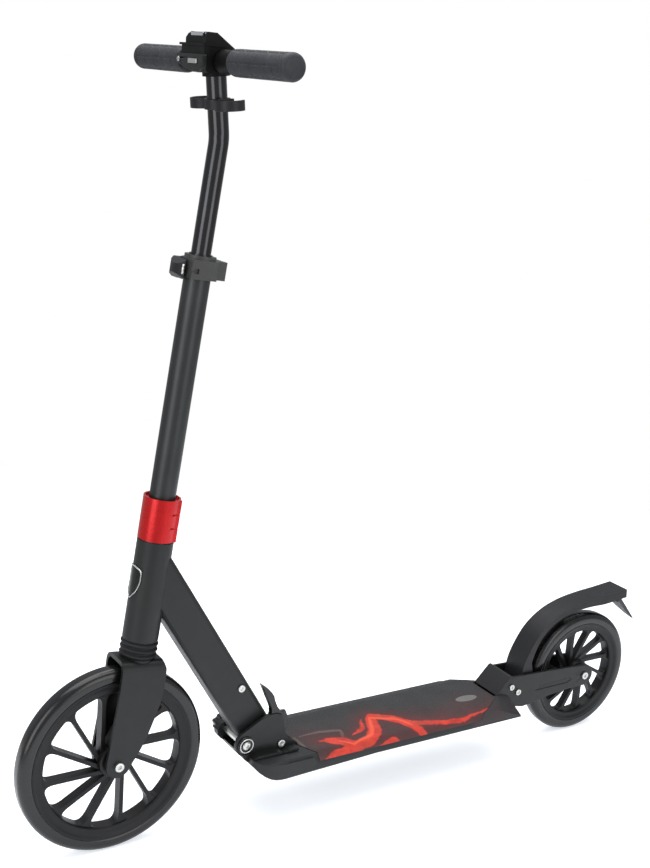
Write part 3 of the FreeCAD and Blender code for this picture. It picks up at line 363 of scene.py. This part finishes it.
st = k.remap(k.noise(1.0, 3.0, 0.6, vec=streak.outputs[0]), 0.6, 0.72, 0.0, 0.35)
base = k.mix(k.math("MULTIPLY", st, k.remap(sep.outputs[0], -0.02, 0.1, 0.1, 1.0)), base, srgb(104, 92, 90))
faint = k.remap(k.math("MAXIMUM", arc1, arc2), -0.0016, 0.0010, 0.0, 0.6)
base = k.mix(faint, base, srgb(112, 92, 88))
base = k.mix(glow, base, srgb(104, 32, 30))
red = k.ramp(k.noise(45.0, 3.0, 0.6, vec=P), [(0.35, srgb(178, 44, 34)), (0.65, srgb(204, 66, 48))])
red = k.mix(wash, red, srgb(128, 44, 38))
base = k.mix(solid, base, red)
base = k.mix(k.math("MULTIPLY", hot, 0.6), base, srgb(232, 92, 62))
grit = k.math("ADD", k.noise(1500.0, 3.0, 0.7), k.voronoi(1100.0))
MATS["sheet_print"] = k.set(color=base, rough=k.remap(k.noise(500.0, 3.0), 0.3, 0.7, 0.46, 0.66), spec=0.3,
                            normal=k.bump(grit, 0.5, 0.00018))

# the deck casting is black, and its rear corners carry on the print's haze
k = Mat("deck_paint")
sep = k.n.new("ShaderNodeSeparateXYZ")
k.l.new(k.obj, sep.inputs[0])
c = k.ramp(k.noise(22.0, 4.0, 0.6), [(0.3, srgb(24, 25, 26)), (0.7, srgb(31, 32, 33))])
pz_ = k.math("MULTIPLY", k.remap(sep.outputs[0], fx(-508), fx(-500), 1.0, 0.0), k.remap(sep.outputs[2], 0.0705, 0.0725, 0.0, 1.0))
hz = k.mix(k.remap(k.noise(16.0, 4.0, 0.6), 0.4, 0.7, 0.0, 0.6), srgb(42, 43, 44), srgb(66, 36, 38))
c = k.mix(pz_, c, hz)
MATS["deck_paint"] = k.set(color=c, rough=k.remap(k.noise(70.0, 3.0), 0.3, 0.7, 0.36, 0.48), spec=0.34,
                           normal=k.bump(k.noise(1200.0, 2.0), 0.35, 0.00012))

SLOT_MAT = {
    "black_paint": "powder_black", "charcoal_anodised": "charcoal_tube", "gunmetal_gloss": "gunmetal_tube",
    "red_anodised": "red_anodised", "zinc": "zinc", "steel_dark": "steel_dark", "tyre_pu": "tyre_pu",
    "wheel_plastic": "wheel_black", "fender_plastic": "moulded_black", "boot_rubber": "boot_rubber",
    "grip_rubber": "grip_rubber", "sheet_print": "sheet_print", "plate_grey": "plate_grey",
    "chrome_trim": "chrome_trim", "gloss_black": "gloss_black",
}
SLOT_OF = {}
for sp_ in frame["record"]["subparts"]:
    SLOT_OF[sp_["node"]] = sp_["material_slot"]


def use(obj, mat):
    obj.data.materials.clear()
    obj.data.materials.append(MATS[mat])


SPECIAL = {"head_block": "head_black", "latch_plate": "fork_black", "fork": "fork_black", "deck": "deck_paint", "height_clamp": "clamp_grey", "release_lever": "gloss_black",
           "fold_bracket": "fork_black", "rear_casting": "fork_black", "fold_knuckle": "fork_black",
           "rear_cover": "moulded_black", "clamp_lever": "moulded_black", "grip_clip": "moulded_black"}
for name, o in nodes.items():
    use(o, SPECIAL.get(name, SLOT_MAT[SLOT_OF[name]]))


def soften(o, width, seg=2, angle=32.0):
    """Rounds the sharp edges of a part and smooths its curved faces."""
    w = o.modifiers.new("weld", "WELD")
    w.merge_threshold = 0.00002
    if width > 0:
        b = o.modifiers.new("bevel", "BEVEL")
        b.width = width
        b.segments = seg
        b.limit_method = "ANGLE"
        b.angle_limit = math.radians(angle)
        b.harden_normals = False
        b.use_clamp_overlap = True
    for p in o.data.polygons:
        p.use_smooth = True
    n = o.modifiers.new("wn", "WEIGHTED_NORMAL")
    n.keep_sharp = True
    n.weight = 60


BEVEL = {"fork": 0.0012, "down_tube": 0.0, "fold_knuckle": 0.0008, "fold_bracket": 0.0009, "release_lever": 0.0007,
         "deck": 0.0008, "rear_casting": 0.0009, "rear_cover": 0.0005, "fender": 0.0008, "height_clamp": 0.0007,
         "clamp_lever": 0.0006, "clamp_collar": 0.0005, "head_block": 0.0011, "latch_plate": 0.0008,
         "latch_button": 0.0005, "head_insert": 0.0004, "grip_clip": 0.0005, "lock_knob": 0.0009,
         "front_axle": 0.0005, "rear_axle": 0.0005, "lock_bolt": 0.0006, "fold_pivot_bolt": 0.0005,
         "brace_bolt": 0.0005, "cover_bolt": 0.0004, "fender_pivot": 0.0004, "collar_bolts": 0.0004,
         "bracket_screws": 0.0004, "head_tube": 0.0006, "outer_tube": 0.0003, "clamp_bolt": 0.0004}
for name, o in nodes.items():
    soften(o, BEVEL.get(name, 0.0))


# ------------------------------------------------------------------ mesh helpers
def new_obj(name, bm_or_mesh, mat, body, smooth=True):
    if isinstance(bm_or_mesh, bmesh.types.BMesh):
        me = D.meshes.new(name)
        bm_or_mesh.to_mesh(me)
        bm_or_mesh.free()
    else:
        me = bm_or_mesh
        me.name = name
    for p in me.polygons:
        p.use_smooth = smooth
    o = D.objects.new(name, me)
    scene.collection.objects.link(o)
    me.materials.append(MATS[mat])
    if body:
        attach(o, body)
    return o


def lathe_mesh(profile, M, seg=128, closed=True, rfun=None, wrap=True):
    """Ring of profile points (r, h) in metres turned about the local z axis."""
    bm = bmesh.new()
    rings = []
    for i in range(seg):
        a = 2 * math.pi * i / seg
        ring = []
        for j, (r, h) in enumerate(profile):
            rr = rfun(r, h, a, j) if rfun else r
            ring.append(bm.verts.new(M @ Vector((rr * math.cos(a), rr * math.sin(a), h))))
        rings.append(ring)
    n = len(profile)
    for i in range(seg):
        A, B = rings[i], rings[(i + 1) % seg]
        for j in range(n if closed else n - 1):
            q = (j + 1) % n
            bm.faces.new((A[j], B[j], B[q], A[q]))
    if not closed:
        for idx in (0, n - 1):
            loop = [r[idx] for r in rings]
            bm.faces.new(loop if idx else list(reversed(loop)))
    bmesh.ops.recalc_face_normals(bm, faces=bm.faces)
    return bm


def arc(cx, cy, r, a0, a1, n):
    return [(cx + r * math.cos(math.radians(a0 + (a1 - a0) * i / n)),
             cy + r * math.sin(math.radians(a0 + (a1 - a0) * i / n))) for i in range(n + 1)]


def mm(pts):
    return [(a / 1000.0, b / 1000.0) for a, b in pts]


def sharp_split(o, angle=40.0):
    """Keeps crisp edges crisp on a smooth-shaded mesh."""
    me = o.data
    bm = bmesh.new()
    bm.from_mesh(me)
    for e in bm.edges:
        if len(e.link_faces) == 2 and e.calc_face_angle(0) > math.radians(angle):
            e.smooth = False
    bm.to_mesh(me)
    bm.free()


# ------------------------------------------------------------------ wheels
def window_loop(i, n, off, half, win_r, hub_r, fo=10.0, fi=3.2):
    """Outline of one opening between two tangential spokes, with filleted corners (mm)."""
    def line_pt(k_, t, s):
        a = 2 * math.pi * k_ / n
        d = (math.cos(a), math.sin(a))
        nn = (-d[1], d[0])
        return (d[0] * s + nn[0] * t, d[1] * s + nn[1] * t)
    tl, tr = -off + half, -off - half
    so_l, so_r = math.sqrt(win_r ** 2 - tl ** 2), math.sqrt(win_r ** 2 - tr ** 2)
    si_l, si_r = math.sqrt(hub_r ** 2 - tl ** 2), math.sqrt(hub_r ** 2 - tr ** 2)

    def ang(p):
        return math.atan2(p[1], p[0])

    def bez(p, c, q, m=6):
        return [((1 - t) ** 2 * p[0] + 2 * t * (1 - t) * c[0] + t * t * q[0],
                 (1 - t) ** 2 * p[1] + 2 * t * (1 - t) * c[1] + t * t * q[1]) for t in [j / m for j in range(m + 1)]]
    out = []
    A = line_pt(i, tl, so_l)          # outer corner on spoke i
    B = line_pt(i + 1, tr, so_r)      # outer corner on spoke i+1
    C = line_pt(i + 1, tr, si_r)
    Dp = line_pt(i, tl, si_l)
    aA, aB = ang(A), ang(B)
    while aB < aA:
        aB += 2 * math.pi
    da = fo * 0.95 / win_r
    out += bez(line_pt(i, tl, so_l - fo * 1.35), A, (win_r * math.cos(aA + da), win_r * math.sin(aA + da)))
    steps = 7
    for j in range(1, steps):
        a = aA + da + (aB - aA - 2 * da) * j / steps
        out.append((win_r * math.cos(a), win_r * math.sin(a)))
    out += bez((win_r * math.cos(aB - da), win_r * math.sin(aB - da)), B, line_pt(i + 1, tr, so_r - fo * 1.35))
    aC, aD = ang(C), ang(Dp)
    while aC < aD:
        aC += 2 * math.pi
    w = aC - aD
    q = min(0.42 * w, fi / hub_r)
    out += bez(line_pt(i + 1, tr, si_r + fi), C, (hub_r * math.cos(aC - q), hub_r * math.sin(aC - q)), 4)
    out += bez((hub_r * math.cos(aD + q), hub_r * math.sin(aD + q)), Dp, line_pt(i, tl, si_l + fi), 4)
    return out


def plate_with_holes(name, outer, holes, half, mat, body, M, bevel=0.0011):
    cu = D.curves.new(name + "_c", "CURVE")
    cu.dimensions = "2D"
    cu.fill_mode = "BOTH"
    cu.extrude = half / 1000.0
    for loop in [outer] + holes:
        sp = cu.splines.new("POLY")
        sp.points.add(len(loop) - 1)
        for p, (x, y) in zip(sp.points, loop):
            p.co = (x / 1000.0, y / 1000.0, 0, 1)
        sp.use_cyclic_u = True
    tmp = D.objects.new(name + "_tmp", cu)
    scene.collection.objects.link(tmp)
    bpy.context.view_layer.update()
    me = D.meshes.new_from_object(tmp.evaluated_get(bpy.context.evaluated_depsgraph_get()))
    D.objects.remove(tmp)
    D.curves.remove(cu)
    me.transform(M)
    o = new_obj(name, me, mat, body)
    w = o.modifiers.new("weld", "WELD")
    w.merge_threshold = 0.00001
    b = o.modifiers.new("bevel", "BEVEL")
    b.width = bevel
    b.segments = 3
    b.limit_method = "ANGLE"
    b.angle_limit = math.radians(50)
    n = o.modifiers.new("wn", "WEIGHTED_NORMAL")
    n.weight = 60
    return o


def build_wheel(side, cx, R, win_r, hub_r, body, half):
    M = along_y(fx(cx), R / 1000.0)
    # spokes: the CAD turns them in the X-Z plane, so mirror the local y
    MS = Matrix.Translation((fx(cx), 0, R / 1000.0)) @ Matrix(((1, 0, 0, 0), (0, 0, 1, 0), (0, 1, 0, 0), (0, 0, 0, 1)))
    n = 12
    outer = [((win_r + 2.0) * math.cos(2 * math.pi * j / 180), (win_r + 2.0) * math.sin(2 * math.pi * j / 180)) for j in range(180)]
    fo = 10.0 if R > 100 else 7.0
    holes = [window_loop(i, n, 13.0, 2.5, win_r, hub_r - 1.0, fo, 3.0) for i in range(n)]
    sp = plate_with_holes(side + "_spokes", outer, holes, half, "wheel_black", body, MS)
    rim_r = R - 15.0
    ring = mm([(rim_r - 0.2, -11.6), (rim_r - 0.2, 11.6)] + [(rim_r - 2.2, 11.6), (rim_r - 3.6, 11.0), (rim_r - 4.6, 10.2), (win_r + 3.4, 9.8)]
              + arc(win_r + 3.0, 6.8, 3.0, 90, 180, 5) + [(win_r - 0.1, 0.0)]
              + arc(win_r + 3.0, -6.8, 3.0, 180, 270, 5) + [(win_r + 3.4, -9.8), (rim_r - 4.6, -10.2), (rim_r - 3.6, -11.0), (rim_r - 2.2, -11.6)])
    rg = new_obj(side + "_rim_ring", lathe_mesh(ring, M, 180), "wheel_black", body)
    sharp_split(rg, 38)
    hb = mm([(8.0, -5.4), (8.0, 5.4), (11.0, 5.5), (11.05, 12.2), (11.8, 12.7), (hub_r - 2.2, 12.7), (hub_r - 0.6, 12.0), (hub_r, 10.4),
             (hub_r, -10.4), (hub_r - 0.6, -12.0), (hub_r - 2.2, -12.7), (11.8, -12.7), (11.05, -12.2), (11.0, -5.5)])
    hub = new_obj(side + "_hub", lathe_mesh(hb, M, 96), "wheel_black", body)
    sharp_split(hub, 38)
    prof = mm([(rim_r, -11.2), (rim_r + 1.3, -11.9), (rim_r + 2.2, -12.0)]
              + [(R - 9.0, -12.0)] + arc(R - 8.6, -3.4, 8.6, -90, -4, 12) + [(R, 0.0)] + arc(R - 8.6, 3.4, 8.6, 4, 90, 12)
              + [(R - 9.0, 12.0), (rim_r + 2.2, 12.0), (rim_r + 1.3, 11.9), (rim_r, 11.2)])
    ty = new_obj(side + "_tyre_body", lathe_mesh(prof, M, 224), "tyre_pu", body)
    sharp_split(ty, 50)
    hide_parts(side + "_rim")
    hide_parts(side + "_tyre")


build_wheel("front", 0.0, 115.0, 85.5, 19.0, "front_wheel", 6.7)
build_wheel("rear", -732.0, 90.0, 63.0, 17.0, "rear_wheel", 5.1)

# ------------------------------------------------------------------ fork boot with soft ribs
u0, u1 = 241.2, 262.6
prof = [(16.0, u0), (19.6, u0)]
for i in range(31):
    t = i / 30.0
    prof.append((20.35 + 1.55 * math.sin(2 * math.pi * 3 * t - math.pi / 2), u0 + 0.6 + (u1 - u0 - 1.2) * t))
prof += [(19.6, u1), (16.0, u1)]
boot = new_obj("boot_ribs", lathe_mesh(mm(prof), STEER, 96), "boot_rubber", None)
sharp_split(boot, 60)
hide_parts("fork_boot")
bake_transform(boot)

# ------------------------------------------------------------------ shield outline on the head tube plate
sh = [(-13.0, 349.0), (0.0, 352.0), (13.0, 349.0), (13.2, 334.0), (10.0, 322.5), (0.0, 310.5), (-10.0, 322.5), (-13.2, 334.0)]


def on_head(y, u, r):
    w = math.sqrt(max(r * r - y * y, 0))
    return steer_pt(w, y, u)


def dense(pts, m=8):
    out = []
    for (a, b), (c, d) in zip(pts, pts[1:] + pts[:1]):
        for j in range(m):
            t = j / m
            out.append((a + (c - a) * t, b + (d - b) * t))
    return out


def smooth2(pts, it=6):
    n = len(pts)
    for _ in range(it):
        pts = [((pts[i - 1][0] + 2 * pts[i][0] + pts[(i + 1) % n][0]) / 4, (pts[i - 1][1] + 2 * pts[i][1] + pts[(i + 1) % n][1]) / 4) for i in range(n)]
    return pts


loop = smooth2(dense(sh, 8), 5)
cy, cu = 0.0, 332.0
bm = bmesh.new()
rings = []
for k_in, rr in ((1.0, 21.95), (1.0, 22.35), (0.93, 22.35), (0.93, 21.95)):
    rings.append([bm.verts.new(on_head(cy + (y - cy) * k_in, cu + (u - cu) * k_in, rr)) for y, u in loop])
for a in range(4):
    A, B = rings[a], rings[(a + 1) % 4]
    for i in range(len(loop)):
        j = (i + 1) % len(loop)
        bm.faces.new((A[i], A[j], B[j], B[i]))
bmesh.ops.recalc_face_normals(bm, faces=bm.faces)
trim = new_obj("head_plate_border", bm, "chrome_trim", "front_frame")

# ------------------------------------------------------------------ grips: raised pads in rows
BX, BZ = -85.8, 904.6


def grip(side, s):
    y_in, y_end = 54.0, 168.0
    body = "handle_" + side
    hs = []
    y = y_in
    while y < 159.5:
        hs.append(y)
        y += 0.9
    prof = [(11.05, y_in), (12.6, y_in), (13.3, y_in + 0.6)]
    prof += [(13.2, h) for h in hs if h > y_in + 1.2]
    n_pad = len(prof)
    prof += [(13.3, 160.0), (14.1, 160.8)] + arc(14.1 - 5.6, y_end - 5.6, 5.6, 0, 78, 8) + [(5.0, y_end - 0.15), (1.2, y_end - 0.05)]

    def rf(r, h, a, j):
        if j < 3 or j >= n_pad:
            return r
        hh = h * 1000.0
        rows = 6
        ph = (a / (2 * math.pi) * rows) % 1.0
        row = int(a / (2 * math.pi) * rows)
        pitch = 22.0
        q = ((hh - 58.0 + (row % 2) * 11.0) / pitch) % 1.0

        def edge(t, w):
            d = min(t, 1 - t)
            x = max(0.0, min(1.0, (d - w) / 0.05))
            return x * x * (3 - 2 * x)
        pad = edge(ph, 0.045) * edge(q, 0.05)
        end = max(0.0, min(1.0, (hh - 58.0) / 1.5)) * max(0.0, min(1.0, (157.0 - hh) / 1.5))
        ribs = 0.12 * math.sin(hh * 2 * math.pi / 2.75) if pad > 0.9 else 0.0
        ring = 1.0 if (hh < 57.0 or hh > 157.8) else 0.0
        return r + (0.75 * pad * end + ribs * end + 0.7 * ring) / 1000.0
    M = Matrix.Translation((fx(BX), 0, BZ / 1000.0)) @ Matrix.Rotation(math.radians(-90 * s), 4, "X")
    bm_ = lathe_mesh(mm(prof), M, 144, closed=False, rfun=rf)
    g = new_obj("grip_body_" + side, bm_, "grip_rubber", body)
    sharp_split(g, 55)
    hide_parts("grip_" + side)
    col = mm([(11.05, 27.0), (12.2, 27.0), (12.6, 27.5), (12.6, 31.0), (12.2, 33.0), (12.2, 50.0), (12.9, 53.0), (12.9, 53.9), (11.05, 53.9)])
    sl = new_obj("grip_collar_" + side, lathe_mesh(col, M, 80), "head_black", body)
    sharp_split(sl, 40)


grip("left", 1)
grip("right", -1)

# ------------------------------------------------------------------ lock bolt: black cup with a bright rim, plated bolt in it
ML = along_y(fx(-165.6), 0.1075)
cup = mm([(5.02, 28.05), (10.6, 28.05), (11.0, 28.4), (11.0, 29.2), (10.5, 29.6), (9.3, 29.7), (9.1, 31.2), (8.3, 31.5), (7.9, 31.0), (7.7, 30.0), (5.02, 29.8)])
o = new_obj("lock_cup", lathe_mesh(cup, ML, 96), "gloss_black", "deck_frame")
sharp_split(o, 40)
rim_ = mm([(8.75 + 0.75 * math.cos(math.radians(30 * i)), 31.35 + 0.6 * math.sin(math.radians(30 * i))) for i in range(12)])
o = new_obj("lock_rim", lathe_mesh(rim_, ML, 96), "zinc", "deck_frame")
blt = mm([(0.4, -42.9), (4.6, -42.9), (5.0, -42.5), (5.0, 30.0), (5.3, 30.3), (5.3, 31.4), (4.7, 32.1), (3.4, 32.5), (2.4, 32.55), (2.2, 31.0), (0.4, 31.0)])
o = new_obj("lock_bolt_body", lathe_mesh(blt, ML, 64, closed=False), "zinc", "deck_frame")
sharp_split(o, 40)
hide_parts("lock_bolt")

# painted highlight at the lever's tip: a bright zinc sliver stands in for the highlight along its edge
bm = bmesh.new()
bmesh.ops.create_cube(bm, size=1.0)
for v in bm.verts:
    v.co = steer_pt(23.2 + v.co.x * 3.4, 9.1 + v.co.y * 0.9, 689.5 + v.co.z * 11.0)
bmesh.ops.bevel(bm, geom=bm.edges[:], offset=0.0003, segments=2, affect="EDGES")
o = new_obj("lever_edge_painted_highlight", bm, "zinc", "clamp_lever")

# ------------------------------------------------------------------ stage, light, camera
bm = bmesh.new()
bmesh.ops.create_grid(bm, x_segments=2, y_segments=2, size=9.0)
me = D.meshes.new("floor")
bm.to_mesh(me)
bm.free()
floor = D.objects.new("floor", me)
scene.collection.objects.link(floor)
floor.location = (0, 0, -0.0004)
fm = D.materials.new("floor_white")
fm.use_nodes = True
ft = fm.node_tree
ft.nodes.clear()


def fnode(kind):
    return ft.nodes.new(kind)


fo_ = fnode("ShaderNodeOutputMaterial")
dif = fnode("ShaderNodeBsdfDiffuse")
dif.inputs[0].default_value = (0.84, 0.86, 0.89, 1)
em = fnode("ShaderNodeEmission")
em.inputs[0].default_value = (0.95, 0.97, 1.0, 1)
add = fnode("ShaderNodeAddShader")
ft.links.new(dif.outputs[0], add.inputs[0])
ft.links.new(em.outputs[0], add.inputs[1])
far_ = fnode("ShaderNodeEmission")
flp = fnode("ShaderNodeLightPath")
fmr = fnode("ShaderNodeMapRange")
ft.links.new(flp.outputs["Is Camera Ray"], fmr.inputs[0])
emr = fnode("ShaderNodeMapRange")
ft.links.new(flp.outputs["Is Camera Ray"], emr.inputs[0])
emr.inputs[3].default_value = 0.3
emr.inputs[4].default_value = 0.56
ft.links.new(emr.outputs[0], em.inputs[1])
fmr.inputs[3].default_value = 0.45
fmr.inputs[4].default_value = 1.0
ft.links.new(fmr.outputs[0], far_.inputs[1])
tc = fnode("ShaderNodeTexCoord")
ln_ = fnode("ShaderNodeVectorMath")
ln_.operation = "LENGTH"
ft.links.new(tc.outputs["Object"], ln_.inputs[0])
rg_ = fnode("ShaderNodeMapRange")
rg_.interpolation_type = "SMOOTHSTEP"
rg_.inputs[1].default_value = 0.7
rg_.inputs[2].default_value = 1.5
ft.links.new(ln_.outputs["Value"], rg_.inputs[0])
fmx = fnode("ShaderNodeMixShader")
ft.links.new(rg_.outputs[0], fmx.inputs[0])
ft.links.new(add.outputs[0], fmx.inputs[1])
ft.links.new(far_.outputs[0], fmx.inputs[2])
ft.links.new(fmx.outputs[0], fo_.inputs[0])
me.materials.append(fm)

world = D.worlds.new("studio")
scene.world = world
world.use_nodes = True
wt = world.node_tree
wt.nodes.clear()
wo = wt.nodes.new("ShaderNodeOutputWorld")
bg_cam = wt.nodes.new("ShaderNodeBackground")
bg_cam.inputs[0].default_value = (1, 1, 1, 1)
bg_cam.inputs[1].default_value = 1.0
bg = wt.nodes.new("ShaderNodeBackground")
bg.inputs[0].default_value = (0.93, 0.96, 1.0, 1)
bg.inputs[1].default_value = 0.5
lp = wt.nodes.new("ShaderNodeLightPath")
mx = wt.nodes.new("ShaderNodeMixShader")
wt.links.new(lp.outputs["Is Camera Ray"], mx.inputs[0])
wt.links.new(bg.outputs[0], mx.inputs[1])
wt.links.new(bg_cam.outputs[0], mx.inputs[2])
wt.links.new(mx.outputs[0], wo.inputs[0])


def area(name, loc, target, size, power, size_y=None, col=(1, 1, 1)):
    ld = D.lights.new(name, "AREA")
    ld.energy = power
    ld.color = col
    ld.shape = "RECTANGLE"
    ld.size = size
    ld.size_y = size_y or size
    o = D.objects.new(name, ld)
    scene.collection.objects.link(o)
    o.location = loc
    d = Vector(target) - Vector(loc)
    o.rotation_euler = d.to_track_quat("-Z", "Y").to_euler()
    return o


area("top", (0.1, -0.3, 2.9), (0, 0, 0.1), 3.2, 95.0)
area("strip_front", (2.44, 0.89, 0.95), (-0.1, 0, 0.75), 1.3, 26.0, 2.2)
area("strip_side", (-0.37, 2.59, 0.95), (-0.1, 0, 0.75), 1.3, 21.0, 2.2)
area("back", (-2.4, 1.4, 1.3), (-0.2, 0, 0.3), 0.9, 12.0, 1.6).visible_glossy = False

cam_d = D.cameras.new("cam")
cam = D.objects.new("cam", cam_d)
scene.collection.objects.link(cam)
yaw, pitch, roll = -2.16042, -0.26217, 0.07857
fw = Vector((math.cos(pitch) * math.cos(yaw), math.cos(pitch) * math.sin(yaw), math.sin(pitch)))
right = fw.cross(Vector((0, 0, 1))).normalized()
upv = right.cross(fw)
r2 = math.cos(roll) * right + math.sin(roll) * upv
u2 = -math.sin(roll) * right + math.cos(roll) * upv
cam.matrix_world = Matrix(((r2.x, u2.x, -fw.x, 0.963806), (r2.y, u2.y, -fw.y, 1.294812), (r2.z, u2.z, -fw.z, 0.902655), (0, 0, 0, 1)))
cam_d.lens = 55.78
cam_d.sensor_width = 36.0
cam_d.sensor_fit = "AUTO"
cam_d.clip_start = 0.01
scene.camera = cam
bpy.context.scene.camera = cam
scene.view_settings.view_transform = "Standard"
scene.view_settings.look = "None"
